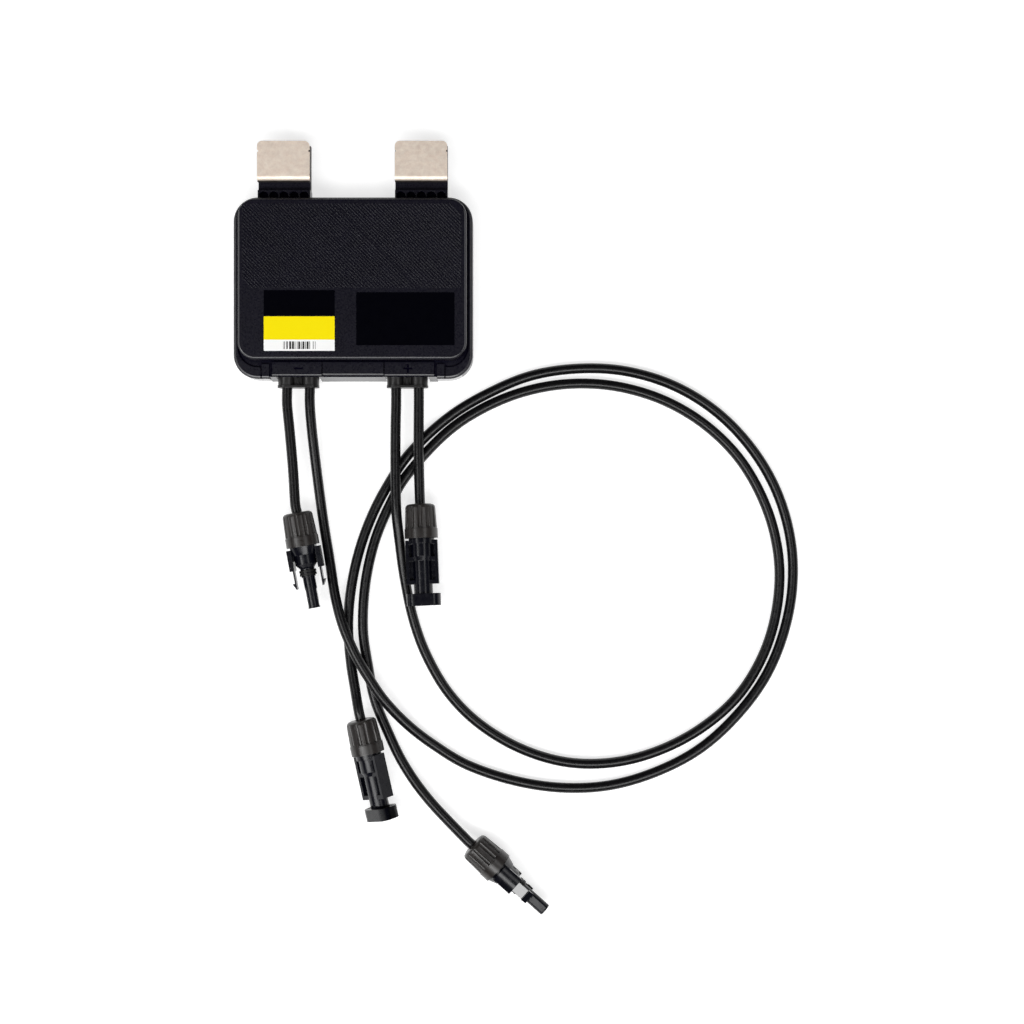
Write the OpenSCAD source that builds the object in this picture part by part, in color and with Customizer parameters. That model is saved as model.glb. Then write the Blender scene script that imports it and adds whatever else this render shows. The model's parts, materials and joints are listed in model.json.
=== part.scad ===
// Power optimizer for one solar module, with its four leads as they lie in the photograph.
// Millimetres, +Z up. The rear face lies on z = 0, the clips point to +Y, the leads leave at -Y.

/* [Housing] */
// Width of the housing across its rim
body_width = 138.4; // [134:0.2:146]
// Depth of the housing from the lead side to the clip side
body_depth = 105.1; // [102:0.1:110]
// Thickness from the rear face to the raised panel
body_thickness = 22.9; // [21.5:0.1:27]
// Height of the rim round the raised panel
rim_height = 16; // [15.6:0.1:17]
// Radius of the rim corners
corner_radius = 14; // [12:0.5:16]
// Rounding of the outer edge of the rim
rim_round = 1.6; // [0.8:0.1:2]
// Thickness of the panel and the rebated edge
wall = 2; // [1.6:0.1:2.4]

/* [Panel] */
// Draft of the wall of the raised panel
panel_draft = 0.2; // [0.1:0.1:0.8]
// Width of the rim beside the foot of the panel
rim_side = 3.2; // [2.6:0.1:5]
// Width of the rim between the panel and the clips
rim_clip = 1.8; // [1.4:0.1:3]
// Width of the ledge on the lead side of the panel
lead_ledge = 10.6; // [10:0.1:12]
// Rounding of the top edge of the raised panel
panel_edge = 1.2; // [0.6:0.1:1.4]
// Spacing of the diagonal ribs
rib_pitch = 1.5; // [1.4:0.1:3]
// Height of the diagonal ribs
rib_height = 0.3; // [0.2:0.05:0.6]
// Width of the diagonal ribs at the panel
rib_width = 0.9; // [0.7:0.05:1.3]
// Depth of the grooves between the blocks on the ledge
groove_depth = 1.3; // [0.6:0.1:1.6]

/* [Frame clips] */
// Distance between the two clips, centre to centre
clip_spacing = 79.5; // [72:0.1:86]
// Width of a clip
clip_width = 30.4; // [26:0.2:34]
// Gap that takes the flange of the module frame
clip_gap = 4.4; // [4.2:0.1:5.4]
// Thickness of the clip's sheet steel
clip_sheet = 1; // [0.8:0.1:1.2]
// Length of the upper leaf beyond the bend
leaf_length = 20.2; // [17:0.1:24]

/* [Leads] */
// Diameter of the cables
cable_diameter = 6; // [5.4:0.1:6]
// Distance between the two cable glands, centre to centre
gland_spacing = 63.4; // [61:0.2:66]
// Distance between the two cables of a gland
lead_spacing = 13.2; // [12.6:0.1:13.6]

/* [Connectors] */
// Diameter of the collar of the gland nut
nut_diameter = 19.3; // [18.4:0.1:19.4]
// Number of flutes on the gland nut
nut_flutes = 12; // [8:1:14]
// Diameter of the contact pin
pin_diameter = 4; // [3.9:0.02:4]

/* [Hidden] */
$fn = 64;
e = 0.01;
mid_y = -0.25;
south = mid_y - body_depth / 2;
north = mid_y + body_depth / 2;
foot_w = body_width - 2 * rim_side;
foot_s = south + lead_ledge;
foot_n = north - rim_clip;
foot_y = (foot_s + foot_n) / 2;
foot_d = foot_n - foot_s;
foot_r = corner_radius - 3.9;
wall_s = south + 1.2;
channel_s = south + 7.1;
zone = 48.6;
mid_half = 17.6;
mid_gap = 17.9;
side_x = 32.5;
side_half = 14.3;
side_gap = 47.7;
stop_x = 50.7;
stop_half = 2.1;
stop_gap = 53.15;
floor_z = rim_height - groove_depth;
panel_h = body_thickness - rim_height;
panel_in = panel_draft + 0.75 * panel_edge;
panel_n = foot_n - panel_in;
cavity_roof = rim_height - 3.2;
plate_t = 2.4;
seal_t = 1;
ledge_in = 1.9;
wall_low = wall + ledge_in;
rebate_w = body_width - 2 * wall;
rebate_d = body_depth - 2 * wall;
rebate_r = corner_radius - wall;
cav_w = rebate_w - 2 * ledge_in;
cav_d = rebate_d - 2 * ledge_in;
cav_r = rebate_r - ledge_in;
inner_s = south + wall_low;
board_z = 5.4;
board_t = 1.6;
deck = board_z + board_t;
ceiling = body_thickness - wall;
board_w = cav_w - 14.6;
board_d = cav_d - 10.3;
board_y = mid_y - 1.25;

// fields on the panel, from its left, right and lead-side edges
label_x = -0.3833 * foot_w;
label_y = foot_s + 4.9;
label_w = 0.3083 * foot_w;
label_d = 19.8;
field_gap = 0.4;
field_d = 14.6;
plate_x = 0.4462 * foot_w;
plate_y = foot_s + 8.1;
plate_w = 0.4273 * foot_w;
plate_d = 30.4;
ribs_y = plate_y + plate_d + 2.7;

terminal_in = 4.3;
terminal_end = 12.3;
pin_end = 54;
tab_low = 6.5;
tab_top = 11;
tab_end = north + 30.5;
root_top = 14.5;
bend_y = north + 8.85;
clip_shift = -0.4;
bend_r = (clip_gap + 2 * clip_sheet) / 2;
leaf_y = bend_y + bend_r;
leaf_z = tab_top + clip_sheet + clip_gap;

lead_z = 0.6 * rim_height;
barrel_r = 0.325 * rim_height;
gland_out = south - 4.9;
gland_shift = -0.6;
core_r = 1.6;
cable_r = cable_diameter / 2;

nut_len = 19.9;
nut_r = nut_diameter / 2;
collar_z = nut_len - 5.5;
wing_end = nut_len + 13.4;
barb_end = nut_len + 24.3;
guard_end = nut_len + 26.7;
pin_r = pin_diameter / 2;
p_len = 56.3;
s_len = 59.1;

// place of each connector: start of the nut, azimuth, rise and roll of its axis
at_in_minus = [-33.2, -130.1, 9.7];
az_in_minus = -79.5;
at_out_minus = [3.9, -250.6, 9.7];
az_out_minus = -77.4;
at_out_plus = [69.1, -323.5, 9.9];
az_out_plus = -41.9;
at_in_plus = [38.4, -125.2, 9.4];
az_in_plus = -87.5;
rise_in_plus = 3.2;

function heading(az, rise) = [cos(az) * cos(rise), sin(az) * cos(rise), sin(rise)];

// routes of the cables between the gland and the connector, chosen by hand
mid_in_minus = [[-37.5, -82, 9.6], [-35.5, -105, 9.5]];
mid_in_plus = [[37.6, -94, 9.7]];
mid_out_minus = [
    [-24.5, -84, 8.2], [-21.5, -112, 4.8], [-18.4, -136, 3.3], [-14.9, -157, 4],
    [-11.3, -178, 7.6], [-6.8, -195, 9.3], [0.3, -212, 9.6], [9, -227, 9.5], [18, -240, 9.3],
    [31, -254, 6.2], [46, -266, 3.6], [66, -278, 3.1], [93, -287, 3.1], [121, -291.2, 3.1],
    [149, -289.8, 3.1], [176, -282, 3.1], [201, -269, 3.1], [222, -250.5, 3.1],
    [239.5, -227.5, 3.1], [250.5, -202, 3.1], [256, -174, 3.1], [255, -146, 3.1],
    [247, -118, 3.1], [232.5, -93, 3.1], [212, -71.5, 3.1], [187, -56, 3.1], [159, -47.4, 3.1],
    [131, -45.8, 3.1], [103, -50, 3.1], [77, -60.8, 3.1], [54, -74.9, 3.1], [32, -95.4, 3.1],
    [17.5, -117, 3.1], [8, -136.5, 3.1], [1.5, -156, 3.1], [-2.5, -176, 3.1], [-4, -196, 3.1],
    [-2.6, -216, 3.9], [0.5, -234, 6.8]];
mid_out_plus = [
    [24.2, -80, 9.6], [24.1, -104, 9.5], [24.6, -129, 9.4], [26.5, -149, 6],
    [29, -168, 3.6], [34, -192, 3.1], [42, -214, 3.1], [55, -236, 3.1], [73, -254, 3.1],
    [97, -268.3, 3.1], [124, -276.3, 3.1], [152, -276.3, 3.1], [179, -269, 3.1],
    [204, -255.5, 3.1], [225, -236.5, 3.1], [239.8, -211.5, 3.1], [247.3, -184, 3.1],
    [248, -156, 3.1], [241, -127.5, 3.1], [226.5, -100.5, 3.1], [206, -79.5, 3.1],
    [181, -64.5, 3.1], [153, -56.2, 3.1], [125, -54.8, 3.1], [98, -59.6, 3.1], [73, -70.1, 3.1],
    [52, -84.7, 3.1], [30.5, -108, 3.1], [20.4, -125.6, 3.1], [12.5, -144, 3.1], [7.5, -163, 3.1],
    [5, -182, 3.1], [4.8, -201, 3.1], [7.6, -220, 3.1], [11.4, -239, 3.1], [18.6, -257, 3.5],
    [28.5, -277, 5], [43, -297, 7.6]];

function clip_x(side) = side * clip_spacing / 2 + clip_shift;
function gland_x(side) = side * gland_spacing / 2 + gland_shift;
function lead_x(side, which) = gland_x(side) + which * lead_spacing / 2;
function board_at(x, y) = [x * board_w / 2, board_y + y * board_d / 2];
function from_gland(x) = [[x, gland_out + 10, lead_z], [x, gland_out, lead_z],
    [x, gland_out - 10, lead_z]];
function to_nut(p, d) = [p - 6 * d, p, p + 6 * d];
function spline(a, b, c, d, t) = 0.5 * (2 * b + (c - a) * t
    + (2 * a - 5 * b + 4 * c - d) * t * t + (3 * b - a - 3 * c + d) * t * t * t);
function course(p, n) = [for (i = [1 : len(p) - 3]) for (k = [0 : n - 1])
    spline(p[i - 1], p[i], p[i + 1], p[i + 2], k / n), p[len(p) - 2]];
function unit(v) = v / norm(v);
function along(q, p, i) = i == 0 ? unit(p[2] - p[0])
    : i == len(q) - 1 ? unit(p[len(p) - 1] - p[len(p) - 3]) : unit(q[i + 1] - q[i - 1]);
function ring(c, t, r, m) = let (s = unit(cross(t, [0, 0, 1])), u = cross(s, t))
    [for (a = [0 : m - 1]) c + r * (cos(360 * a / m) * s + sin(360 * a / m) * u)];

module tube(p, r, n, m = 10) {
    q = course(p, n);
    k = len(q);
    polyhedron(
        [for (i = [0 : k - 1]) each ring(q[i], along(q, p, i), r, m)],
        concat(
            [[for (a = [0 : m - 1]) a]],
            [[for (a = [m - 1 : -1 : 0]) (k - 1) * m + a]],
            [for (i = [0 : k - 2]) for (a = [0 : m - 1]) [i * m + a, (i + 1) * m + a,
                i * m + (a + 1) % m]],
            [for (i = [0 : k - 2]) for (a = [0 : m - 1]) [i * m + (a + 1) % m, (i + 1) * m + a,
                (i + 1) * m + (a + 1) % m]]));
}

// box with rounded upright edges, centred in x and y
module slab(w, d, h, r) {
    translate([-w / 2 + r, -d / 2, 0]) cube([w - 2 * r, d, h]);
    translate([-w / 2, -d / 2 + r, 0]) cube([w, d - 2 * r, h]);
    for (x = [-1, 1]) for (y = [-1, 1])
        translate([x * (w / 2 - r), y * (d / 2 - r), 0]) cylinder(h = h, r = r);
}

// the same with its walls leaning in by t
module leaning_slab(w, d, h, r, t) {
    translate([0, d / 2 - r, 0]) rotate([90, 0, 0]) linear_extrude(d - 2 * r)
        polygon([[-w / 2, 0], [w / 2, 0], [w / 2 - t, h], [t - w / 2, h]]);
    translate([-w / 2 + r, 0, 0]) rotate([90, 0, 90]) linear_extrude(w - 2 * r)
        polygon([[-d / 2, 0], [d / 2, 0], [d / 2 - t, h], [t - d / 2, h]]);
    for (x = [-1, 1]) for (y = [-1, 1])
        translate([x * (w / 2 - r), y * (d / 2 - r), 0]) cylinder(h = h, r1 = r, r2 = r - t);
}

module box(x0, x1, y0, y1, z0, z1) {
    translate([x0, y0, z0]) cube([x1 - x0, y1 - y0, z1 - z0]);
}

module rod_y(x, y0, y1, z, r) {
    translate([x, y0, z]) rotate([-90, 0, 0]) cylinder(h = y1 - y0, r = r);
}

// diagonal ribs over the upper part of the panel
module panel_ribs() {
    x1 = foot_w / 2 - panel_in - 2;
    y0 = ribs_y;
    y1 = panel_n - 2;
    step = rib_pitch * sqrt(2);
    sunk = 0.2;
    base = rib_width / 2 * (1 + sunk / rib_height);
    for (c = [y0 - x1 + 6 : step : x1 + y1 - 6]) {
        a = max(-x1, c - y1);
        b = min(x1, c - y0);
        translate([a, c - a, body_thickness]) rotate([90, 0, 45]) linear_extrude((b - a) * sqrt(2))
            polygon([[-base, -sunk], [base, -sunk], [0, rib_height]]);
    }
}

module clip_tab(x) {
    box(x - clip_width / 2, x + clip_width / 2, north - 1, tab_end, tab_low, tab_top);
    difference() {
        box(x - clip_width / 2, x + clip_width / 2, north - 1, north + 4.4, 4, root_top);
        for (i = [-2 : 2]) translate([x + i * 5.87, north + 0.95, root_top]) {
            translate([0, 0, -5]) cylinder(h = 6, r = 2.5);
            translate([0, 0, -0.4]) cylinder(h = 0.5, r1 = 2.5, r2 = 2.9);
        }
    }
    for (i = [-1, 1]) translate([x + i * 8, north + 20.5, tab_top - e])
        cylinder(h = clip_sheet + e, r1 = 1.95, r2 = 1.95 + 0.7 * clip_sheet);
}

// drafted wall on the lead side, left out where the glands pass
module lead_wall(x0, x1) {
    translate([x0, 0, 0]) rotate([90, 0, 90]) linear_extrude(x1 - x0)
        polygon([[wall_s + 1, 0.6], [wall_s - 1.7, 0.6], [wall_s, rim_height - 3],
            [wall_s + 1, rim_height - 3]]);
}

module gland_hole(x) {
    for (i = [-1, 1])
        rod_y(x + i * lead_spacing / 2, south - 4, inner_s + 1, lead_z, barrel_r + 0.1);
    box(x - lead_spacing / 2, x + lead_spacing / 2, south - 4, inner_s + 1, lead_z - 2.6, lead_z + 2.6);
    box(x - 13.2, x + 13.2, inner_s, inner_s + 5, lead_z - barrel_r, lead_z + barrel_r - 0.1);
}

module polarity_sign(x, plus) {
    y = south + 6.1;
    z = rim_height - 0.5;
    box(x - 2.6, x + 2.6, y - 0.6, y + 0.6, z, rim_height + 1);
    if (plus) box(x - 0.6, x + 0.6, y - 2.6, y + 2.6, z, rim_height + 1);
}

// channel round the foot of the panel, and the gaps between the blocks on the ledge
module ledge_grooves() {
    t = rim_height + 1;
    d = foot_n + 0.4 - channel_s;
    translate([0, channel_s + d / 2, floor_z]) slab(foot_w + 0.8, d, groove_depth + 1, foot_r + 1);
    translate([0, channel_s + d / 2, rim_height + e]) rotate([180, 0, 0])
        leaning_slab(foot_w + 1.6, d + 0.8, 0.4 + e, foot_r + 1.4, 0.4);
    for (i = [-1, 1]) {
        translate([i * mid_gap, 0, 0]) box(-0.3, 0.3, south - 1, foot_s, floor_z, t);
        translate([i * side_gap, 0, 0]) box(-0.9, 0.9, south - 1, foot_s, floor_z, t);
        translate([i * stop_gap, 0, 0]) box(-0.35, 0.35, south - 1, foot_s, floor_z, t);
    }
    box(-zone, zone, south - 1, wall_s, -1, t);
    box(-mid_half, mid_half, south - 1, wall_s + 1, rim_height - 2.6, t);
    for (i = [-1, 1]) translate([i * side_x, 0, 0])
        box(-side_half, side_half, south - 1, wall_s + 0.6, floor_z + 0.2, t);
}

// two-step rounding of an upper edge along x, the solid lying on side s of it
module edge_cut(x0, x1, y, s, c) {
    z = rim_height;
    translate([x0, 0, 0]) rotate([90, 0, 90]) linear_extrude(x1 - x0)
        polygon([[y - s * 0.1, z + 0.1], [y - s * 0.1, z - c], [y, z - c],
            [y + s * 0.25 * c, z - 0.2 * c], [y + s * c, z], [y + s * c, z + 0.1]]);
}

module ledge_edges() {
    edge_cut(-mid_half - 0.1, mid_half + 0.1, wall_s + 1, 1, 0.8);
    edge_cut(-mid_half - 0.1, mid_half + 0.1, foot_s - 0.5, -1, 0.5);
    for (i = [-1, 1]) translate([i * side_x, 0, 0]) {
        edge_cut(-side_half - 0.1, side_half + 0.1, wall_s + 0.6, 1, 0.8);
        edge_cut(-side_half - 0.1, side_half + 0.1, foot_s - 0.5, -1, 0.5);
    }
    for (i = [-1, 1]) translate([i * stop_x, 0, 0])
        edge_cut(-stop_half - 0.1, stop_half + 0.1, channel_s + 1.7, -1, 0.5);
}

// three leaning steps that round the upper edge of a slab, f high and f wide
module round_steps(w, d, r, f) {
    for (k = [[0, 0, 0.5, 0.134], [0.134, 0.5, 0.366, 0.366], [0.5, 0.866, 0.134, 0.5]])
        translate([0, 0, f * k[1] - e])
            leaning_slab(w - 2 * f * k[0], d - 2 * f * k[0], f * k[2] + e, r - f * k[0], f * k[3]);
}

module rimmed_slab(w, d, h, r, f) {
    slab(w, d, h - f, r);
    translate([0, 0, h - f]) round_steps(w, d, r, f);
}

// parts of the blocks that stand in the channel
module ledge_blocks() {
    box(-mid_half, mid_half, channel_s - 1, foot_s - 0.5, floor_z - 1, rim_height);
    for (i = [-1, 1]) {
        translate([i * side_x, 0, 0])
            box(-side_half, side_half, channel_s - 1, foot_s - 0.5, floor_z - 1, rim_height);
        translate([i * stop_x, 0, 0])
            box(-stop_half, stop_half, channel_s - 1, channel_s + 1.7, floor_z - 1, rim_height);
    }
}

module front_housing() {
    color([0.13, 0.13, 0.15]) {
        difference() {
            union() {
                difference() {
                    translate([0, mid_y, 0])
                        rimmed_slab(body_width, body_depth, rim_height, corner_radius, rim_round);
                    ledge_grooves();
                }
                ledge_blocks();
                translate([0, foot_y, rim_height - e])
                    leaning_slab(foot_w, foot_d, panel_h - panel_edge + e, foot_r, panel_draft);
                translate([0, foot_y, body_thickness - panel_edge])
                    round_steps(foot_w - 2 * panel_draft, foot_d - 2 * panel_draft,
                        foot_r - panel_draft, panel_edge);
                translate([0, foot_y, floor_z - 1])
                    slab(foot_w, foot_d, groove_depth + 1, foot_r);
                lead_wall(-zone - e, gland_x(-1) - 12.7);
                lead_wall(gland_x(-1) + 12.7, gland_x(1) - 12.7);
                lead_wall(gland_x(1) + 12.7, zone + e);
                clip_tab(clip_x(-1));
                clip_tab(clip_x(1));
                panel_ribs();
            }
            translate([0, mid_y, -1]) slab(rebate_w, rebate_d, plate_t + seal_t + 1, rebate_r);
            translate([0, mid_y, 0]) slab(cav_w, cav_d, cavity_roof, cav_r);
            translate([0, foot_y, cavity_roof - 1])
                slab(foot_w - 2 * wall - 3.2, foot_d - 2 * wall - 3.2, ceiling - cavity_roof + 1, 6);
            ledge_edges();
            gland_hole(gland_x(-1));
            gland_hole(gland_x(1));
            polarity_sign(-gland_spacing / 2, false);
            polarity_sign(gland_spacing / 2, true);
        }
    }
}

module back_plate() {
    color([0.16, 0.16, 0.17]) {
        translate([0, mid_y, 0]) slab(rebate_w - 0.4, rebate_d - 0.4, plate_t, rebate_r - 0.2);
        for (x = [-0.862, 0.862]) for (y = [-0.7, 0.816]) translate(board_at(x, y))
            translate([0, 0, plate_t - e]) cylinder(h = board_z - plate_t + e, r = 3);
    }
}

module housing_seal() {
    color([0.3, 0.3, 0.32]) difference() {
        translate([0, mid_y, plate_t])
            slab(rebate_w - 0.4, rebate_d - 0.4, seal_t, rebate_r - 0.2);
        translate([0, mid_y, plate_t - 1])
            slab(cav_w + 0.2, cav_d + 0.2, seal_t + 2, cav_r + 0.1);
    }
}

module frame_clip(x) {
    w = clip_width;
    color([0.86, 0.81, 0.76]) difference() {
        union() {
            box(x - w / 2, x + w / 2, leaf_y - e, tab_end - 0.5, tab_top, tab_top + clip_sheet);
            difference() {
                translate([x - w / 2, leaf_y, tab_top + bend_r]) rotate([0, 90, 0])
                    cylinder(h = w, r = bend_r);
                translate([x - w / 2 - 1, leaf_y, tab_top + bend_r]) rotate([0, 90, 0])
                    cylinder(h = w + 2, r = bend_r - clip_sheet);
                box(x - w, x + w, leaf_y, leaf_y + 9, tab_top - 1, tab_top + 2 * bend_r + 1);
            }
            box(x - w / 2, x + w / 2, leaf_y - e, leaf_y + leaf_length - 3, leaf_z, leaf_z + clip_sheet);
            box(x - w / 2 + 3, x + w / 2 - 3, leaf_y, leaf_y + leaf_length, leaf_z, leaf_z + clip_sheet);
            for (i = [-1, 1]) translate([x + i * (w / 2 - 3), leaf_y + leaf_length - 3, leaf_z])
                cylinder(h = clip_sheet, r = 3);
        }
        for (i = [-1, 1]) translate([x + i * w / 2, 0, 0]) box(-0.7, 0.7, leaf_y + leaf_length - 6.4,
            leaf_y + leaf_length - 5.2, leaf_z - 1, leaf_z + clip_sheet + 1);
        for (i = [-1, 1]) translate([x + i * 8, north + 20.5, tab_top])
            translate([0, 0, -0.5]) cylinder(h = clip_sheet + 1, r1 = 2 - 0.35,
                r2 = 2 + 0.7 * clip_sheet + 0.35);
    }
}

module frame_clip_left() frame_clip(clip_x(-1));
module frame_clip_right() frame_clip(clip_x(1));

module cable_gland(x) {
    color([0.11, 0.1, 0.1]) difference() {
        union() {
            for (i = [-1, 1])
                rod_y(x + i * lead_spacing / 2, gland_out + 1.4, inner_s + 1, lead_z, barrel_r);
            box(x - lead_spacing / 2, x + lead_spacing / 2, gland_out + 1, inner_s + 1,
                lead_z - 2.5, lead_z + 2.5);
            translate([x, gland_out, lead_z]) rotate([-90, 0, 0])
                slab(24.2, 2 * barrel_r + 0.6, 1.5, barrel_r - 0.2);
            box(x - 11.6, x + 11.6, gland_out + 1, wall_s - 0.05, lead_z - 4.6, lead_z + 1);
            box(x - 0.6, x + 0.6, gland_out + 1, wall_s - 0.3, lead_z, lead_z + 4);
            translate([x, inner_s, lead_z]) rotate([-90, 0, 0])
                slab(26, 2 * barrel_r - 0.6, 1.4, 4);
        }
        for (i = [-1, 1])
            rod_y(x + i * lead_spacing / 2, gland_out - 1, inner_s + 3, lead_z, core_r + 0.05);
    }
}

module cable_gland_minus() cable_gland(gland_x(-1));
module cable_gland_plus() cable_gland(gland_x(1));

module type_label() {
    color([0.98, 0.9, 0.05])
        box(label_x, label_x + label_w, label_y, label_y + label_d, body_thickness, body_thickness + 0.15);
}

module blank_label_left() {
    color([0.03, 0.03, 0.06])
        translate([0, label_y + label_d + field_gap, 0])
            box(label_x, label_x + label_w, 0, field_d, body_thickness, body_thickness + 0.15);
}

module blank_label_right() {
    color([0.03, 0.03, 0.06])
        box(plate_x - plate_w, plate_x, plate_y, plate_y + plate_d, body_thickness, body_thickness + 0.15);
}

module circuit_board() {
    color([0.08, 0.32, 0.16]) translate([0, board_y, board_z])
        slab(board_w, board_d, board_t, 6);
}

// box on the board between two of its points
module block(p, q, z, h) {
    box(p[0], q[0], p[1], q[1], z, z + h);
}

module heat_spreader() {
    color([0.75, 0.76, 0.78]) block(board_at(-0.586, -0.563), board_at(0.586, 0.724), plate_t, 2);
}

module thermal_pad() {
    color([0.55, 0.6, 0.7])
        block(board_at(-0.57, -0.54), board_at(0.57, 0.7), plate_t + 2, board_z - plate_t - 2);
}

module power_inductor() {
    w = 0.26 * board_w;
    color([0.25, 0.24, 0.23]) translate(board_at(0.45, 0.356)) difference() {
        translate([0, 0, deck]) slab(w, w, 10.5, 3);
        translate([0, 0, deck + 9.5]) cylinder(h = 2, r = w / 6);
    }
}

module power_transistors() {
    color([0.1, 0.1, 0.1]) for (x = [-0.57, -0.33]) for (y = [0.02, 0.39])
        block(board_at(x, y), board_at(x + 0.17, y + 0.21), deck, 2.4);
}

module filter_capacitors() {
    color([0.62, 0.5, 0.38]) for (i = [0 : 5])
        block(board_at(-0.81 + i * 0.172, -0.56), board_at(-0.69 + i * 0.172, -0.36), deck, 5);
}

module control_chip() {
    color([0.07, 0.07, 0.07]) block(board_at(-0.83, 0.13), board_at(-0.66, 0.36), deck, 1.2);
}

module radio_shield() {
    t = 0.4;
    p = board_at(-0.86, 0.63);
    q = board_at(-0.55, 0.93);
    color([0.8, 0.8, 0.78]) difference() {
        block(p, q, deck, 3);
        block(p + [t, t], q - [t, t], deck - 1, 4 - t);
    }
}

module cable_terminals() {
    color([0.78, 0.5, 0.3]) for (s = [-1, 1]) for (i = [-1, 1]) {
        x = lead_x(s, i);
        box(x - 3.5, x + 3.5, inner_s + terminal_in, inner_s + terminal_end, deck, cavity_roof - 0.6);
        rod_y(x, gland_out, inner_s + 5, lead_z, core_r);
    }
}

// gland nut, its axis on z and its cable end at z = 0
module nut() {
    color([0.22, 0.2, 0.19]) difference() {
        union() {
            cylinder(h = 0.3 + e, r1 = nut_r - 3.1, r2 = nut_r - 2);
            translate([0, 0, 0.3]) cylinder(h = 0.8 + e, r1 = nut_r - 2, r2 = nut_r - 1.2);
            translate([0, 0, 1.1]) cylinder(h = 1.1 + e, r1 = nut_r - 1.2, r2 = nut_r - 0.9);
            translate([0, 0, 2.2]) cylinder(h = collar_z - 2.2 + e, r1 = nut_r - 0.9, r2 = nut_r - 0.35);
            translate([0, 0, collar_z]) cylinder(h = nut_len - collar_z, r = nut_r);
        }
        translate([0, 0, -1]) cylinder(h = 5, r = 3.7);
        translate([0, 0, 3]) cylinder(h = nut_len, r = 6.5);
        for (i = [0 : nut_flutes - 1]) rotate([0, 0, i * 360 / nut_flutes])
            translate([nut_r - 0.1, 0, 1.4]) cylinder(h = collar_z - 2, r = 1.35, $fn = 24);
    }
}

module cable_seal() {
    color([0.45, 0.16, 0.12]) difference() {
        union() {
            cylinder(h = 4, r = 3.6);
            translate([0, 0, 3]) cylinder(h = 6, r = 5);
        }
        translate([0, 0, -1]) cylinder(h = 12, r = core_r + 0.05);
    }
}

// sleeve of a housing inside the nut, round the cable seal
module sleeve() {
    difference() {
        translate([0, 0, 3.4]) cylinder(h = nut_len - 3.4 + e, r = 6.4);
        translate([0, 0, 2]) cylinder(h = 7, r = 5.1);
    }
}

// housing of the socket contact, with two side wings and latch fingers on y
module socket_housing() {
    color([0.12, 0.12, 0.13]) difference() {
        union() {
            sleeve();
            translate([0, 0, nut_len]) intersection() {
                cylinder(h = 5, r1 = 9.1, r2 = 7.5);
                box(-10, 10, -7.2, 7.2, -1, 6);
            }
            translate([0, 0, nut_len]) cylinder(h = 30.4 - nut_len, r = 6.4);
            translate([0, 0, 30.4 - e]) cylinder(h = 2.6 + e, r1 = 6.4, r2 = 4.2);
            translate([0, 0, 33 - e]) cylinder(h = 5, r = 4.2);
            translate([0, 0, 35.2]) cylinder(h = 0.6, r = 4.7);
            difference() {
                translate([0, 0, 37]) cylinder(h = p_len - 37, r = 3.6);
                for (i = [-1, 1]) translate([0, i * 5.1, 0])
                    box(-5, 5, -2, 2, p_len - 11, p_len - 0.7);
            }
            for (i = [0, 180]) rotate([0, 0, i]) {
                box(-5.5, 5.5, 7, 9.7, nut_len + 1.2, wing_end);
                box(-1.6, 1.6, 5.5, 7.1, nut_len + 1.2, nut_len + 8);
                box(-3.2, 3.2, 7.4, 8.3, wing_end - e, barb_end - 3.6);
                translate([-3.5, 0, barb_end]) rotate([90, 0, 90]) linear_extrude(7)
                    polygon([[7.4, 0], [7.9, 0], [9.6, -3.6], [7.4, -3.6]]);
            }
        }
        translate([0, 0, 8]) cylinder(h = p_len, r = 2.6);
        translate([0, 0, p_len - 0.4]) cylinder(h = 0.5, r1 = 2.6, r2 = 3.1);
        translate([6.4, 0, nut_len + 7]) rotate([0, 90, 0]) cylinder(h = 2, r = 1.4, center = true);
    }
}

module socket_contact() {
    color([0.85, 0.8, 0.62]) difference() {
        union() {
            cylinder(h = 11, r = core_r);
            translate([0, 0, 10]) cylinder(h = p_len - 10.8, r = 2.5);
        }
        translate([0, 0, 38]) cylinder(h = p_len, r = 2.05);
    }
}

module socket_o_ring() {
    color([0.16, 0.16, 0.16]) for (z = [33.9, 35.8]) translate([0, 0, z])
        difference() {
            cylinder(h = 1.3, r = 5);
            translate([0, 0, -1]) cylinder(h = 4, r = 4.25);
        }
}

// housing of the pin contact, with two side guards on y and a collar at its end
module pin_housing() {
    g = nut_len + 1.2;
    color([0.12, 0.12, 0.13]) difference() {
        union() {
            sleeve();
            translate([0, 0, nut_len]) cylinder(h = 3, r = 7.5);
            translate([0, 0, nut_len]) cylinder(h = 10.5, r = 6.5);
            translate([0, 0, nut_len + 10.5 - e]) cylinder(h = 2.5, r1 = 6.5, r2 = 5.45);
            translate([0, 0, nut_len]) cylinder(h = s_len - nut_len, r = 5.45);
            for (i = [0, 180]) rotate([0, 0, i]) {
                box(-4, 4, 7.5, 9.3, g, guard_end);
                box(-1, 1, 3.5, 7.6, g, guard_end);
                for (z = [g, nut_len + 10.8, guard_end - 2.4]) box(-4, 4, 3.5, 9, z, z + 2.4);
            }
            difference() {
                translate([0, 0, s_len - 7.1]) slab(13.2, 19.8, 7.1, 5);
                for (i = [0, 180]) rotate([0, 0, i]) box(-3.7, 3.7, 6.6, 8.6, s_len - 8, s_len + 1);
            }
        }
        translate([0, 0, 8]) cylinder(h = 29, r = 2.9);
        translate([0, 0, 30]) cylinder(h = 12, r = pin_r + 0.6);
        translate([0, 0, 39]) cylinder(h = 30, r = 3.8);
    }
}

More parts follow.
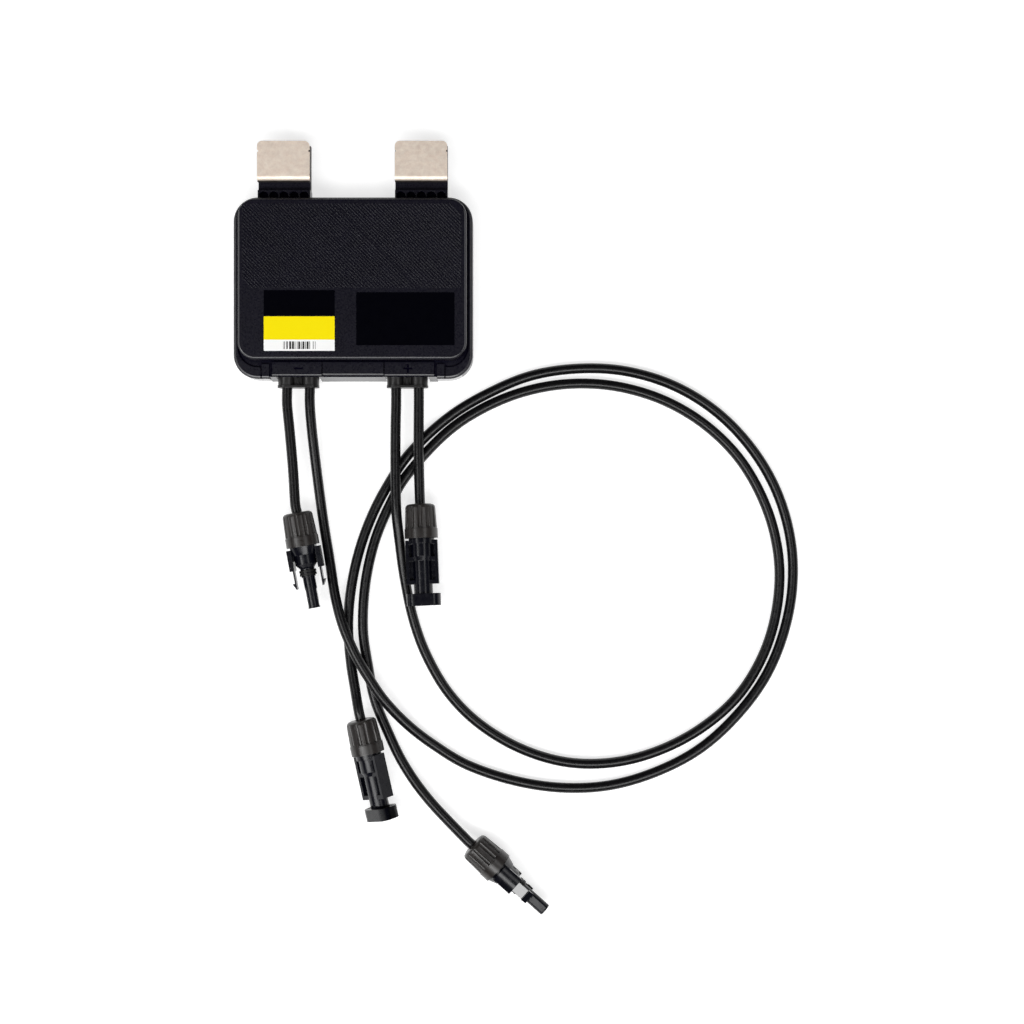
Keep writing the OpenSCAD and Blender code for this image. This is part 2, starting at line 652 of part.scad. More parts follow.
module pin_contact() {
    color([0.85, 0.8, 0.62]) {
        cylinder(h = 11, r = core_r);
        translate([0, 0, 10]) cylinder(h = 27, r = 2.8);
        translate([0, 0, 36]) cylinder(h = 3, r = pin_r + 0.5);
        translate([0, 0, 38]) cylinder(h = pin_end - 38, r = pin_r);
        translate([0, 0, pin_end - e]) cylinder(h = 1, r1 = pin_r, r2 = pin_r - 0.8);
    }
}

module place(p, az, rise = 0, roll = 0) {
    translate(p) rotate([0, 90 - rise, az]) rotate([0, 0, roll]) children();
}

module at_input_minus() place(at_in_minus, az_in_minus) children();
module at_output_minus() place(at_out_minus, az_out_minus, 0, 45) children();
module at_output_plus() place(at_out_plus, az_out_plus, 0, 90) children();
module at_input_plus() place(at_in_plus, az_in_plus, rise_in_plus) children();

module input_minus_nut() at_input_minus() nut();
module input_minus_housing() at_input_minus() socket_housing();
module input_minus_contact() at_input_minus() socket_contact();
module input_minus_cable_seal() at_input_minus() cable_seal();
module input_minus_o_rings() at_input_minus() socket_o_ring();
module output_minus_nut() at_output_minus() nut();
module output_minus_housing() at_output_minus() pin_housing();
module output_minus_contact() at_output_minus() pin_contact();
module output_minus_cable_seal() at_output_minus() cable_seal();
module output_plus_nut() at_output_plus() nut();
module output_plus_housing() at_output_plus() socket_housing();
module output_plus_contact() at_output_plus() socket_contact();
module output_plus_cable_seal() at_output_plus() cable_seal();
module output_plus_o_rings() at_output_plus() socket_o_ring();
module input_plus_nut() at_input_plus() nut();
module input_plus_housing() at_input_plus() pin_housing();
module input_plus_contact() at_input_plus() pin_contact();
module input_plus_cable_seal() at_input_plus() cable_seal();

module lead(x, mid, p, d, n) {
    color([0.09, 0.09, 0.1]) tube(concat(from_gland(x), mid, to_nut(p, d)), cable_r, n);
}

module input_minus_cable()
    lead(lead_x(-1, -1), mid_in_minus, at_in_minus, heading(az_in_minus, 0), 2);
module output_minus_cable()
    lead(lead_x(-1, 1), mid_out_minus, at_out_minus, heading(az_out_minus, 0), 2);
module output_plus_cable()
    lead(lead_x(1, -1), mid_out_plus, at_out_plus, heading(az_out_plus, 0), 2);
module input_plus_cable()
    lead(lead_x(1, 1), mid_in_plus, at_in_plus, heading(az_in_plus, rise_in_plus), 2);

front_housing();
back_plate();
housing_seal();
frame_clip_left();
frame_clip_right();
cable_gland_minus();
cable_gland_plus();
type_label();
blank_label_left();
blank_label_right();
circuit_board();
heat_spreader();
thermal_pad();
power_inductor();
power_transistors();
filter_capacitors();
control_chip();
radio_shield();
cable_terminals();
input_minus_nut();
input_minus_housing();
input_minus_contact();
input_minus_cable_seal();
input_minus_o_rings();
output_minus_nut();
output_minus_housing();
output_minus_contact();
output_minus_cable_seal();
output_plus_nut();
output_plus_housing();
output_plus_contact();
output_plus_cable_seal();
output_plus_o_rings();
input_plus_nut();
input_plus_housing();
input_plus_contact();
input_plus_cable_seal();
input_minus_cable();
output_minus_cable();
output_plus_cable();
input_plus_cable();
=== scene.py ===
import json
import math

import bpy
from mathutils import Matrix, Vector


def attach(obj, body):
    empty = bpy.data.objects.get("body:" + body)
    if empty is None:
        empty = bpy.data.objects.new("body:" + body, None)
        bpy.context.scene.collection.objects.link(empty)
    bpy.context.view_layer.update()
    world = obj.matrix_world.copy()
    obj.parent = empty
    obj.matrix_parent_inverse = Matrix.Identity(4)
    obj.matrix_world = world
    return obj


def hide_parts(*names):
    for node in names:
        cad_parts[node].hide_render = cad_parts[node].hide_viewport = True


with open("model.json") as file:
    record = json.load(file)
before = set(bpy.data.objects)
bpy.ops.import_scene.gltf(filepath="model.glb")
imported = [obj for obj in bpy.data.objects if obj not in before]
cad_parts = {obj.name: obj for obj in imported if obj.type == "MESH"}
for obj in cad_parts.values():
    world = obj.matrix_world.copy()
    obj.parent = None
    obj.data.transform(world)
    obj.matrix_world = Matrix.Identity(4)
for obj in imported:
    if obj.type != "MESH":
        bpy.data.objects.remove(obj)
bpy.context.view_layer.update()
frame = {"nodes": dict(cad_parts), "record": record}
nodes = frame["nodes"]
scene = bpy.context.scene
scene.view_settings.view_transform = "Standard"
MM = 0.001


# Camera, straight above as in the photograph, in metres, with its lens and sensor in millimetres

CAMERA_PLACE = (0.0919, -0.1298, 1.0)
CAMERA_LENS = 59.85
CAMERA_SENSOR = 36
CAMERA_CLIP = (0.05, 20)


def make_camera():
    data = bpy.data.cameras.new("camera")
    data.lens = CAMERA_LENS
    data.sensor_width = CAMERA_SENSOR
    data.clip_start, data.clip_end = CAMERA_CLIP
    data.dof.use_dof = False
    obj = bpy.data.objects.new("camera", data)
    obj.location = CAMERA_PLACE
    scene.collection.objects.link(obj)
    scene.camera = obj


make_camera()


# Cords, on the routes of part.scad and in its millimetres

CABLE_RADIUS = 3.0
LEAD_Z = 9.6
GLAND_MOUTH_Y = -57.7
GLAND_RUN = 10
NUT_RUN = 6
STEPS_PER_STRETCH = 8
ROUND_STEPS = 6


def heading(azimuth, rise=0.0):
    turn, tilt = math.radians(azimuth), math.radians(rise)
    flat = math.cos(tilt)
    return Vector((math.cos(turn) * flat, math.sin(turn) * flat, math.sin(tilt)))


NUTS = {
    "input_minus": (Vector((-33.2, -130.1, 9.7)), heading(-79.5)),
    "output_minus": (Vector((3.9, -250.6, 9.7)), heading(-77.4)),
    "output_plus": (Vector((69.1, -323.5, 9.9)), heading(-41.9)),
    "input_plus": (Vector((38.4, -125.2, 9.4)), heading(-87.5, 3.2)),
}
LEAD_X = {"input_minus": -38.9, "output_minus": -25.7, "output_plus": 24.5, "input_plus": 37.7}
ROUTES = {
    "input_minus": [(-37.5, -82, 9.6), (-35.5, -105, 9.5)],
    "input_plus": [(37.6, -94, 9.7)],
    "output_minus": [
        (-24.5, -84, 8.2), (-21.5, -112, 4.8), (-18.4, -136, 3.3), (-14.9, -157, 4),
        (-11.3, -178, 7.6), (-6.8, -195, 9.3), (0.3, -212, 9.6), (9, -227, 9.5), (18, -240, 9.3),
        (31, -254, 6.2), (46, -266, 3.6), (66, -278, 3.1), (93, -287, 3.1), (121, -291.2, 3.1),
        (149, -289.8, 3.1), (176, -282, 3.1), (201, -269, 3.1), (222, -250.5, 3.1),
        (239.5, -227.5, 3.1), (250.5, -202, 3.1), (256, -174, 3.1), (255, -146, 3.1),
        (247, -118, 3.1), (232.5, -93, 3.1), (212, -71.5, 3.1), (187, -56, 3.1),
        (159, -47.4, 3.1), (131, -45.8, 3.1), (103, -50, 3.1), (77, -60.8, 3.1), (54, -74.9, 3.1),
        (32, -95.4, 3.1), (17.5, -117, 3.1), (8, -136.5, 3.1), (1.5, -156, 3.1), (-2.5, -176, 3.1),
        (-4, -196, 3.1), (-2.6, -216, 3.9), (0.5, -234, 6.8)],
    "output_plus": [
        (24.2, -80, 9.6), (24.1, -104, 9.5), (24.6, -129, 9.4), (26.5, -149, 6),
        (29, -168, 3.6), (34, -192, 3.1), (42, -214, 3.1), (55, -236, 3.1), (73, -254, 3.1),
        (97, -268.3, 3.1), (124, -276.3, 3.1), (152, -276.3, 3.1), (179, -269, 3.1),
        (204, -255.5, 3.1), (225, -236.5, 3.1), (239.8, -211.5, 3.1), (247.3, -184, 3.1),
        (248, -156, 3.1), (241, -127.5, 3.1), (226.5, -100.5, 3.1), (206, -79.5, 3.1),
        (181, -64.5, 3.1), (153, -56.2, 3.1), (125, -54.8, 3.1), (98, -59.6, 3.1),
        (73, -70.1, 3.1), (52, -84.7, 3.1), (30.5, -108, 3.1), (20.4, -125.6, 3.1), (12.5, -144, 3.1),
        (7.5, -163, 3.1), (5, -182, 3.1), (4.8, -201, 3.1), (7.6, -220, 3.1), (11.4, -239, 3.1),
        (18.6, -257, 3.5), (28.5, -277, 5), (43, -297, 7.6)],
}


def spline(before, start, end, after, share):
    """Point of a Catmull-Rom curve between start and end."""
    return 0.5 * (2 * start + (end - before) * share
                  + (2 * before - 5 * start + 4 * end - after) * share ** 2
                  + (3 * start - before - 3 * end + after) * share ** 3)


def course(name):
    """Points of a cord from the mouth of its gland to its connector nut."""
    nut, way = NUTS[name]
    points = [Vector((LEAD_X[name], GLAND_MOUTH_Y + run, LEAD_Z))
              for run in (GLAND_RUN, 0, -GLAND_RUN)]
    points += [Vector(point) for point in ROUTES[name]]
    points += [nut - NUT_RUN * way, nut, nut + NUT_RUN * way]
    line = []
    for first in range(len(points) - 3):
        for step in range(STEPS_PER_STRETCH):
            line.append(spline(*points[first:first + 4], step / STEPS_PER_STRETCH))
    line.append(nut)
    return line


def make_cord(name):
    line = course(name)
    data = bpy.data.curves.new(name + "_cord", "CURVE")
    data.dimensions = "3D"
    path = data.splines.new("POLY")
    path.points.add(len(line) - 1)
    # the points carry the radius and the bevel is 1, so the bevel is as thick as the cable
    for point, place in zip(path.points, line):
        point.co = (*(place * MM), 1)
        point.radius = CABLE_RADIUS * MM
    path.use_smooth = True
    data.bevel_depth = 1.0
    data.bevel_resolution = ROUND_STEPS
    data.use_fill_caps = True
    obj = bpy.data.objects.new(name + "_cord", data)
    scene.collection.objects.link(obj)
    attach(obj, "root")
    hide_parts(name + "_cable")
    return obj


cords = [make_cord(name) for name in ROUTES]


# The one panel rib that the solid lacks, with the section of its neighbours, in millimetres

RIB_ENDS = (Vector((-9.841, 47.4, 0)), Vector((38.559, -1.0, 0)))
PANEL_Z = 22.9
RIB_HEIGHT = 0.3
RIB_WIDTH = 0.9
RIB_SUNK = 0.05


def make_rib():
    half = RIB_WIDTH / 2 * (1 + RIB_SUNK / RIB_HEIGHT)
    side = half * Vector((1, 1, 0)).normalized()
    foot = Vector((0, 0, PANEL_Z - RIB_SUNK))
    crest = Vector((0, 0, PANEL_Z + RIB_HEIGHT))
    points = []
    for end in RIB_ENDS:
        points += [end - side + foot, end + side + foot, end + crest]
    faces = [(0, 2, 1), (3, 4, 5), (0, 3, 5, 2), (1, 2, 5, 4), (0, 1, 4, 3)]
    data = bpy.data.meshes.new("panel_rib")
    data.from_pydata([tuple(point * MM) for point in points], [], faces)
    obj = bpy.data.objects.new("panel_rib", data)
    scene.collection.objects.link(obj)
    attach(obj, "root")
    return obj


rib = make_rib()


# Node helpers

MIX_SHARE, MIX_FIRST, MIX_SECOND, MIX_RESULT = 0, 6, 7, 2    # sockets of a Mix node for colours
BEVEL_SAMPLES = 6


def is_socket(value):
    return hasattr(value, "is_linked")


def put(tree, socket, value):
    """Link a socket to another one, or set its value."""
    if is_socket(value):
        tree.links.new(value, socket)
    else:
        socket.default_value = value


def add_node(tree, kind, inputs, **properties):
    """Add a node with its inputs given by name or number, and return its outputs."""
    node = tree.nodes.new(kind)
    for name, value in properties.items():
        setattr(node, name, value)
    for key, value in inputs.items():
        put(tree, node.inputs[key], value)
    return node.outputs


def map_range(tree, value, low, high, start, end):
    """Map a value that runs from start to end to one that runs from low to high."""
    return add_node(tree, "ShaderNodeMapRange", dict(enumerate((value, start, end, low, high))))[0]


class Surface:
    """A material whose patterns follow the part's own coordinates, with sizes in millimetres."""

    def __init__(self, name):
        self.material = bpy.data.materials.new(name)
        self.material.use_nodes = True
        self.tree = self.material.node_tree
        self.shader = self.tree.nodes["Principled BSDF"]
        self.coord = self.node("ShaderNodeTexCoord", {})["Object"]

    def node(self, kind, inputs, **properties):
        return add_node(self.tree, kind, inputs, **properties)

    def set(self, name, value):
        put(self.tree, self.shader.inputs[name], value)

    def math(self, operation, *values):
        return self.node("ShaderNodeMath", dict(enumerate(values)), operation=operation)[0]

    def above(self, value, limit):
        return self.math("GREATER_THAN", value, limit)

    def below(self, value, limit):
        return self.math("LESS_THAN", value, limit)

    def between(self, value, limits):
        low, high = limits
        return self.all_of(self.above(value, low), self.below(value, high))

    def all_of(self, *masks):
        product = masks[0]
        for mask in masks[1:]:
            product = self.math("MULTIPLY", product, mask)
        return product

    def axes(self):
        """The x, y and z of a point in millimetres."""
        inputs = {"Vector": self.coord, "Scale": 1 / MM}
        return self.node("ShaderNodeSeparateXYZ",
                         {0: self.node("ShaderNodeVectorMath", inputs, operation="SCALE")[0]})

    def stretch(self, factors):
        return self.node("ShaderNodeMapping", {"Vector": self.coord, "Scale": factors})[0]

    def noise(self, size, detail=2.0, rough=0.5, vector=None):
        inputs = {"Vector": vector or self.coord, "Scale": 1 / (size * MM),
                  "Detail": detail, "Roughness": rough}
        return self.node("ShaderNodeTexNoise", inputs)[0]

    def spread(self, value, low, high, start=0.0, end=1.0):
        return map_range(self.tree, value, low, high, start, end)

    def mix(self, share, first, second):
        first, second = (c if is_socket(c) else (*c, 1.0) for c in (first, second))
        inputs = {MIX_SHARE: share, MIX_FIRST: first, MIX_SECOND: second}
        return self.node("ShaderNodeMix", inputs, data_type="RGBA")[MIX_RESULT]

    def rounded(self, radius):
        """Normal that rounds the edges."""
        return self.node("ShaderNodeBevel", {"Radius": radius * MM}, samples=BEVEL_SAMPLES)[0]

    def relief(self, height, strength, depth, normal=None):
        inputs = {"Strength": strength, "Distance": depth * MM, "Height": height}
        if normal:
            inputs["Normal"] = normal
        self.set("Normal", self.node("ShaderNodeBump", inputs)[0])


# Plain plastics, rubbers and metals

MIDDLE = (0.25, 0.75)
CORE = (0.3, 0.7)
GRAIN_DEPTH = 0.05
BRUSH_DEPTH = 0.02
PLASTIC_SMOOTHER, PLASTIC_ROUGHER = 0.06, 0.08
METAL_SMOOTHER, METAL_ROUGHER = 0.07, 0.1

PLASTICS = {
    "back_plastic": dict(
        dark=(0.004, 0.004, 0.0045), light=(0.007, 0.007, 0.0075),
        rough=0.5, grain_size=0.5, grain=0.4, edge=0.3, shine=0.4),
    "gland_rubber": dict(
        dark=(0.0045, 0.0042, 0.0045), light=(0.008, 0.0075, 0.0076),
        rough=0.34, grain_size=0.4, grain=0.2, edge=0.4, shine=0.55),
    "nut_plastic": dict(
        dark=(0.0115, 0.0095, 0.0088), light=(0.021, 0.0175, 0.016),
        rough=0.3, grain_size=0.4, grain=0.2, edge=0.15),
    "cable_jacket": dict(
        dark=(0.0018, 0.0017, 0.0022), light=(0.0034, 0.0032, 0.0040),
        rough=0.28, grain_size=0.8, grain=0.08, ior=1.38),
    "ring_rubber": dict(
        dark=(0.003, 0.003, 0.003), light=(0.006, 0.006, 0.006),
        rough=0.4, grain_size=0.4, grain=0.2, edge=0.2, shine=0.3),
    "seal_rubber": dict(
        dark=(0.06, 0.025, 0.02), light=(0.09, 0.035, 0.03),
        rough=0.6, grain_size=0.4, grain=0.2, edge=0.15),
    "board": dict(
        dark=(0.012, 0.08, 0.035), light=(0.02, 0.12, 0.05),
        rough=0.35, grain_size=0.8, grain=0.1, edge=0.1),
    "pad": dict(
        dark=(0.25, 0.3, 0.4), light=(0.33, 0.38, 0.48),
        rough=0.7, grain_size=0.8, grain=0.3, edge=0.1),
    "ferrite": dict(
        dark=(0.04, 0.04, 0.04), light=(0.06, 0.06, 0.058),
        rough=0.6, grain_size=0.6, grain=0.4, edge=0.2),
    "chip": dict(
        dark=(0.008, 0.008, 0.008), light=(0.014, 0.014, 0.014),
        rough=0.5, grain_size=0.3, grain=0.2, edge=0.1),
    "ceramic": dict(
        dark=(0.3, 0.19, 0.11), light=(0.4, 0.26, 0.16),
        rough=0.5, grain_size=0.5, grain=0.2, edge=0.15),
}
METALS = {
    "shield_steel": dict(dark=(0.55, 0.55, 0.54), light=(0.65, 0.65, 0.63), rough=0.3),
    "contact_metal": dict(dark=(0.62, 0.57, 0.46), light=(0.74, 0.69, 0.58), rough=0.28),
    "copper": dict(dark=(0.55, 0.24, 0.1), light=(0.65, 0.32, 0.16), rough=0.35),
    "spreader_aluminium": dict(
        dark=(0.62, 0.63, 0.65), light=(0.74, 0.75, 0.77), rough=0.35, brushed=(0.2, 1, 1)),
}


def plastic_colour(surface, dark, light):
    cloud = surface.spread(surface.noise(size=9, detail=4, rough=0.6), 0, 1, *CORE)
    surface.set("Base Color", surface.mix(cloud, dark, light))


def plastic_grain(surface, size, strength, normal):
    surface.relief(surface.noise(size, detail=2, rough=0.6), strength, GRAIN_DEPTH, normal)


def metal_sheen(surface, rough, vector):
    surface.set("Metallic", 1.0)
    streaks = surface.noise(size=1.2, detail=3, rough=0.6, vector=vector)
    low, high = rough - METAL_SMOOTHER, rough + METAL_ROUGHER
    surface.set("Roughness", surface.spread(streaks, low, high, *MIDDLE))


def plastic(name, dark, light, rough, grain_size, grain, edge=None, shine=0.5, ior=1.5):
    surface = Surface(name)
    plastic_colour(surface, dark, light)
    patches = surface.noise(size=3, detail=3)
    low, high = rough - PLASTIC_SMOOTHER, rough + PLASTIC_ROUGHER
    surface.set("Roughness", surface.spread(patches, low, high, *MIDDLE))
    surface.set("Specular IOR Level", shine)
    surface.set("IOR", ior)
    plastic_grain(surface, grain_size, grain, surface.rounded(edge) if edge else None)
    return surface


def metal(name, dark, light, rough, brushed=(1, 1, 1), edge=0.15):
    surface = Surface(name)
    vector = surface.stretch(brushed)
    cloud = surface.noise(size=4, detail=4, rough=0.6, vector=vector)
    surface.set("Base Color", surface.mix(cloud, dark, light))
    metal_sheen(surface, rough, vector)
    scratches = surface.noise(size=0.5, detail=2, rough=0.5, vector=vector)
    surface.relief(scratches, strength=0.1, depth=BRUSH_DEPTH, normal=surface.rounded(edge))
    return surface


# Steel of the clips: a mottled leaf, and below it the fold painted dark as shade

LEAF_DARK, LEAF_LIGHT = (0.85, 0.72, 0.62), (1.0, 0.90, 0.79)
# dark steel colours that paint shade into the fold under the leaf
FOLD_SHADE_DARK, FOLD_SHADE_LIGHT = (0.09, 0.08, 0.075), (0.14, 0.125, 0.115)
FOLD_SHADE_TO_LEAF_Z = (15.7, 16.4)
CLIP_ROUGH = 0.58
CLIP_BRUSHED = (0.5, 1, 1)


def clip_steel(name):
    surface = Surface(name)
    cloud = surface.spread(surface.noise(size=3, detail=5, rough=0.75), 0, 1, *CORE)
    leaf = surface.mix(cloud, LEAF_DARK, LEAF_LIGHT)
    # painted shade: below the leaf the fold is coloured dark, fading into the leaf between z 15.7 and
    # 16.4 mm
    fold_shade = surface.mix(surface.noise(size=1.5, detail=3), FOLD_SHADE_DARK, FOLD_SHADE_LIGHT)
    _, _, z = surface.axes()
    surface.set("Base Color", surface.mix(surface.spread(z, 0, 1, *FOLD_SHADE_TO_LEAF_Z), fold_shade, leaf))
    metal_sheen(surface, CLIP_ROUGH, surface.stretch(CLIP_BRUSHED))
    dents = surface.noise(size=1.6, detail=4, rough=0.7)
    surface.relief(dents, strength=0.4, depth=0.03, normal=surface.rounded(0.15))
    return surface


# Plastic of the housing: smoother along the sides of the panel and on the wall with the leads,
# and with its gloss taken away as painted shade deep in its grooves and holes and in the cuts of the
# ledge

HOUSING_DARK, HOUSING_LIGHT = (0.0020, 0.0016, 0.0060), (0.0034, 0.0028, 0.0088)
SATIN_ROUGH = (0.21, 0.40)
PANEL_SIDE_ROUGH = 0.16
LEAD_WALL_ROUGH = 0.14
HOUSING_SHINE = 0.44
PANEL_SIDE_Z = (21.5, 22.88)
PANEL_SIDE_X = 62.5
LEAD_WALL_Y = -50.5
LEDGE_CUT_Z = 15.8
LEDGE_CUT_Y = (-49.4, -44.0)
LEDGE_CUT_X = 47.5
GROOVE_REACH = 4
GROOVE_SHADE_OPENNESS = (0.45, 0.85)


def housing_plastic(name):
    surface = Surface(name)
    plastic_colour(surface, HOUSING_DARK, HOUSING_LIGHT)
    plastic_grain(surface, size=0.5, strength=0.2, normal=surface.rounded(0.12))
    x, y, z = surface.axes()
    off_middle = surface.math("ABSOLUTE", x)

    satin = surface.spread(surface.noise(size=1.1, detail=3, rough=0.7), *SATIN_ROUGH, *MIDDLE)
    panel_side = surface.all_of(surface.between(z, PANEL_SIDE_Z), surface.above(off_middle, PANEL_SIDE_X))
    lead_wall = surface.below(y, LEAD_WALL_Y)
    rough = surface.spread(panel_side, satin, PANEL_SIDE_ROUGH)
    surface.set("Roughness", surface.spread(lead_wall, rough, LEAD_WALL_ROUGH))

    # painted shade: the gloss fades out where ambient occlusion finds the surface closed in
    occlusion_shade = surface.node("ShaderNodeAmbientOcclusion", {"Distance": GROOVE_REACH * MM},
                            samples=8, only_local=True)["AO"]
    shine = surface.spread(occlusion_shade, 0.0, HOUSING_SHINE, *GROOVE_SHADE_OPENNESS)
    # painted shade: the floors of the cuts in the ledge lose all their gloss, so they render black
    ledge_cut_shade = surface.all_of(surface.below(z, LEDGE_CUT_Z), surface.between(y, LEDGE_CUT_Y),
                         surface.below(off_middle, LEDGE_CUT_X))
    surface.set("Specular IOR Level", surface.spread(ledge_cut_shade, shine, 0.0))
    return surface


# Plastic of the connectors: the plug of output_plus lies on its side, with a body shaded as if
# it were round, polished latch fingers and a dull probe. Its mask, all that is in front of
# PLUG_Y, also takes in the mouth of the output_minus connector.

CONNECTOR_DARK, CONNECTOR_LIGHT = (0.0012, 0.0014, 0.0036), (0.0024, 0.0026, 0.0062)
CONNECTOR_ROUGH = (0.18, 0.3)
CONNECTOR_SHINE = 0.34
FINGER_ROUGH = 0.08
FINGER_SHINE = 1.0
PROBE_SHINE = 0.24
PLUG_Y = -300
BODY_END = 33.4
FINGER_END = 44.3
FINGER_Z = 16.5
TURN_PER_MM = 0.12


def connector_plastic(name):
    surface = Surface(name)
    plastic_colour(surface, CONNECTOR_DARK, CONNECTOR_LIGHT)
    x, y, z = surface.axes()
    nut, way = NUTS["output_plus"]
    across = Vector((-way.y, way.x, 0))
    from_x = surface.math("SUBTRACT", x, nut.x)
    from_y = surface.math("SUBTRACT", y, nut.y)

    def distance(direction):
        return surface.math("MULTIPLY_ADD", from_y, direction.y,
                            surface.math("MULTIPLY", from_x, direction.x))

    along = distance(way)
    plug = surface.below(y, PLUG_Y)
    past_body = surface.all_of(plug, surface.above(along, BODY_END))
    probe = surface.all_of(plug, surface.above(along, FINGER_END))
    body = surface.math("SUBTRACT", plug, past_body)
    finger = surface.all_of(surface.math("SUBTRACT", past_body, probe), surface.above(z, FINGER_Z))

    rough = surface.spread(surface.noise(size=3, detail=3), *CONNECTOR_ROUGH, *MIDDLE)
    surface.set("Roughness", surface.spread(finger, rough, FINGER_ROUGH))
    shine = surface.spread(probe, CONNECTOR_SHINE, PROBE_SHINE)
    surface.set("Specular IOR Level", surface.spread(finger, shine, FINGER_SHINE))

    turn = surface.math("MULTIPLY", body, surface.math("MULTIPLY", distance(across), TURN_PER_MM))
    turned = surface.node("ShaderNodeVectorMath", {0: across, 1: turn, 2: surface.rounded(0.3)},
                          operation="MULTIPLY_ADD")[0]
    normal = surface.node("ShaderNodeVectorMath", {0: turned}, operation="NORMALIZE")[0]
    plastic_grain(surface, size=0.35, strength=0.1, normal=normal)
    return surface


# Labels: a bare dark field, and a yellow field over a white one with generic bars by a formula

FIELD_DARK, FIELD_LIGHT = (0.0006, 0.0006, 0.0018), (0.0011, 0.0011, 0.0028)
FIELD_ROUGH = (0.3, 0.4)
FIELD_SHINE = 0.02
YELLOW_DARK, YELLOW_LIGHT = (0.93, 0.75, 0.002), (0.96, 0.80, 0.006)
PAPER_DARK, PAPER_LIGHT = (0.93, 0.93, 0.92), (0.97, 0.97, 0.96)
INK = (0.04, 0.04, 0.04)
PRINT_ROUGH = (0.4, 0.5)
PRINT_SHINE = 0.03
WHITE_TOP_Y = -30.9
BARS_X = (-39.4, -20.9)
BARS_Y = (-36.3, -31.9)
BAR_WIDTH = 0.4
BARE_SHARE = 0.36


def label_relief(surface, size):
    surface.relief(surface.noise(size, detail=2), strength=0.05, depth=0.02)


def label_dark(name):
    surface = Surface(name)
    surface.set("Base Color", surface.mix(surface.noise(size=6, detail=3), FIELD_DARK, FIELD_LIGHT))
    surface.set("Roughness", surface.spread(surface.noise(size=2, detail=2), *FIELD_ROUGH, *MIDDLE))
    surface.set("Specular IOR Level", FIELD_SHINE)
    label_relief(surface, size=1.5)
    return surface


def label_yellow(name):
    surface = Surface(name)
    x, y, _ = surface.axes()
    speckle = surface.noise(size=0.8, detail=3)
    yellow = surface.mix(speckle, YELLOW_DARK, YELLOW_LIGHT)
    paper = surface.mix(speckle, PAPER_DARK, PAPER_LIGHT)
    bar = surface.math("FLOOR", surface.math("DIVIDE", x, BAR_WIDTH))
    chance = surface.node("ShaderNodeTexWhiteNoise", {"W": bar}, noise_dimensions="1D")[0]
    inked = surface.all_of(surface.above(chance, BARE_SHARE), surface.between(x, BARS_X),
                           surface.between(y, BARS_Y))
    white = surface.mix(inked, paper, INK)
    surface.set("Base Color", surface.mix(surface.below(y, WHITE_TOP_Y), yellow, white))
    surface.set("Roughness", surface.spread(speckle, *PRINT_ROUGH))
    surface.set("Specular IOR Level", PRINT_SHINE)
    label_relief(surface, size=1.2)
    return surface


# Every node gets the material of its slot

SPECIAL = {
    "housing_plastic": housing_plastic, "clip_steel": clip_steel,
    "connector_plastic": connector_plastic, "label_dark": label_dark, "label_yellow": label_yellow,
}
surfaces = {slot: plastic(slot, **values) for slot, values in PLASTICS.items()}
surfaces.update({slot: metal(slot, **values) for slot, values in METALS.items()})
surfaces.update({slot: make(slot) for slot, make in SPECIAL.items()})


def dress(obj, slot):
    obj.data.materials.clear()
    obj.data.materials.append(surfaces[slot].material)


for part in frame["record"]["subparts"]:
    dress(nodes[part["node"]], part["material_slot"])
for cord in cords:
    dress(cord, "cable_jacket")
dress(rib, "housing_plastic")


# Floor, in metres: white to the camera and in reflections, with more glow of its own far away,
# where the lamps light it less

FLOOR_HALF = 40
FLOOR_GAP = 0.0004
FLOOR_DARK, FLOOR_LIGHT = (0.53, 0.53, 0.53), (0.57, 0.57, 0.57)
FLOOR_ROUGH = 0.9
FLOOR_SHINE = 0.1
GLOW_NEAR, GLOW_FAR = 0.68, 1.0
GLOW_RISE = (0.55, 1.6)


def floor_white(name):
    surface = Surface(name)
    patches = surface.noise(size=300, detail=2)
    surface.set("Base Color", surface.mix(patches, FLOOR_DARK, FLOOR_LIGHT))
    surface.set("Roughness", FLOOR_ROUGH)
    surface.set("Specular IOR Level", FLOOR_SHINE)
    rays = surface.node("ShaderNodeLightPath", {})
    seen = surface.math("MAXIMUM", rays["Is Camera Ray"], rays["Is Glossy Ray"])
    seen = surface.math("MAXIMUM", seen, rays["Is Transmission Ray"])
    away = surface.node("ShaderNodeVectorMath", {0: surface.coord}, operation="LENGTH")["Value"]
    glow = surface.spread(away, GLOW_NEAR, GLOW_FAR, *GLOW_RISE)
    surface.set("Emission Color", (1, 1, 1, 1))
    surface.set("Emission Strength", surface.math("MULTIPLY", seen, glow))
    return surface


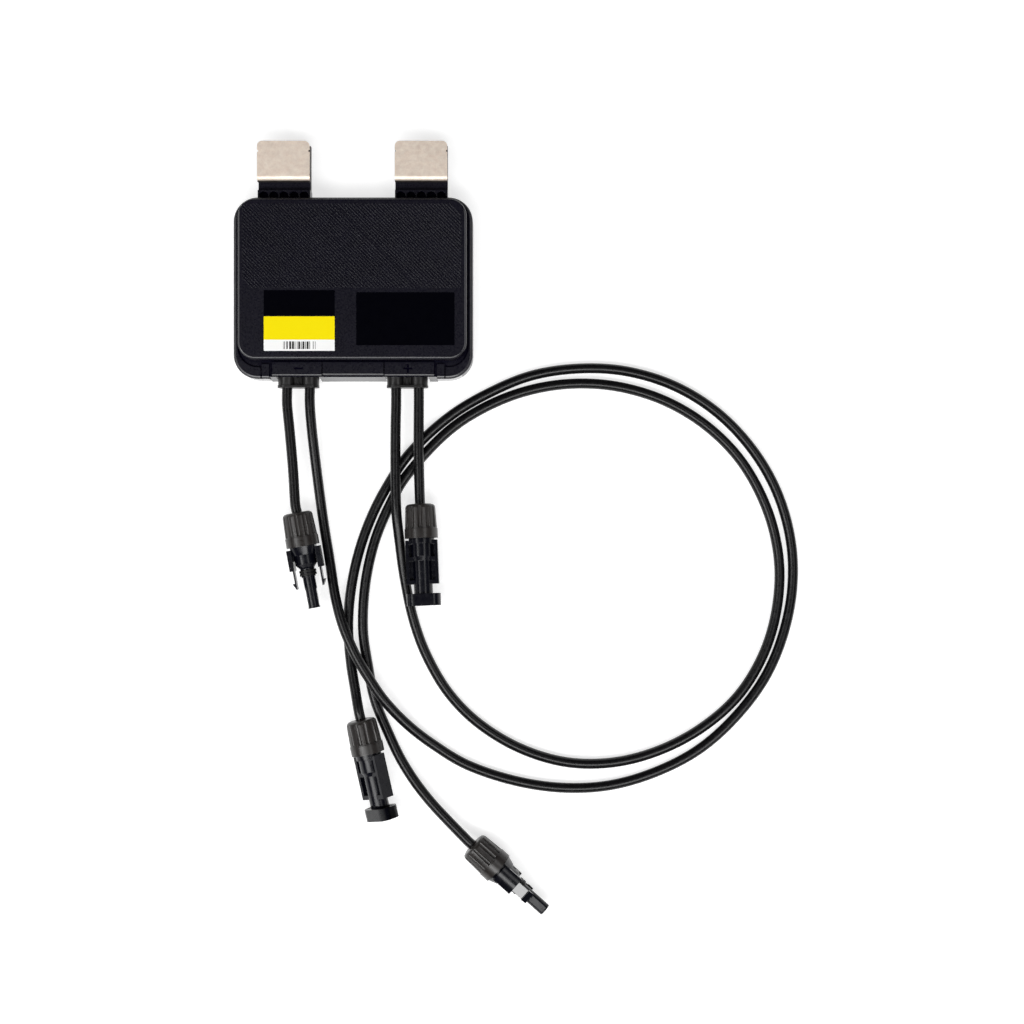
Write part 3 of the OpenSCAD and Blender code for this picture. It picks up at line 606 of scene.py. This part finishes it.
def make_floor():
    half = FLOOR_HALF
    corners = [(-half, -half, 0), (half, -half, 0), (half, half, 0), (-half, half, 0)]
    data = bpy.data.meshes.new("floor")
    data.from_pydata(corners, [], [(0, 1, 2, 3)])
    data.materials.append(floor_white("floor_white").material)
    obj = bpy.data.objects.new("floor", data)
    obj.location = (0, 0, -FLOOR_GAP)
    scene.collection.objects.link(obj)


make_floor()


# World: a dark room round the lamps, with a white wall far off where the floor ends

HORIZON, SKY = 0.03, 0.045
SKY_RISE = (0.0, 0.9)
WALL_TOP = (0.13, 0.18)


def make_world():
    world = bpy.data.worlds.new("surroundings")
    scene.world = world
    world.use_nodes = True
    tree = world.node_tree
    ray = add_node(tree, "ShaderNodeTexCoord", {})["Generated"]
    _, _, rise = add_node(tree, "ShaderNodeSeparateXYZ", {0: ray})
    room = map_range(tree, rise, HORIZON, SKY, *SKY_RISE)
    wall = map_range(tree, rise, 1.0, 0.0, *WALL_TOP)
    light = add_node(tree, "ShaderNodeMath", {0: room, 1: wall}, operation="MAXIMUM")[0]
    background = tree.nodes["Background"]
    put(tree, background.inputs["Color"], (1, 1, 1, 1))
    put(tree, background.inputs["Strength"], light)


make_world()


# Lamps, in metres and watts: a long strip above the front edge of the table, and a weaker box
# on either side

LAMPS = {
    "strip": dict(place=(-0.1, -0.74, 1.3), aim=(0.05, -0.12, 0), size=(2.4, 0.5), power=26.4),
    "light_left": dict(place=(-1.07, 0.08, 1.25), aim=(-0.06, 0.08, 0), size=(0.9, 0.3), power=3),
    "light_right": dict(place=(0.73, 0.08, 1.25), aim=(0.06, 0.08, 0), size=(0.9, 0.3), power=2.2),
}


def make_lamp(name, place, aim, size, power):
    data = bpy.data.lights.new(name, "AREA")
    data.shape = "RECTANGLE"
    data.size, data.size_y = size
    data.energy = power
    obj = bpy.data.objects.new(name, data)
    obj.location = place
    obj.rotation_mode = "QUATERNION"
    obj.rotation_quaternion = (Vector(aim) - Vector(place)).to_track_quat("-Z", "Y")
    scene.collection.objects.link(obj)


for name, values in LAMPS.items():
    make_lamp(name, **values)
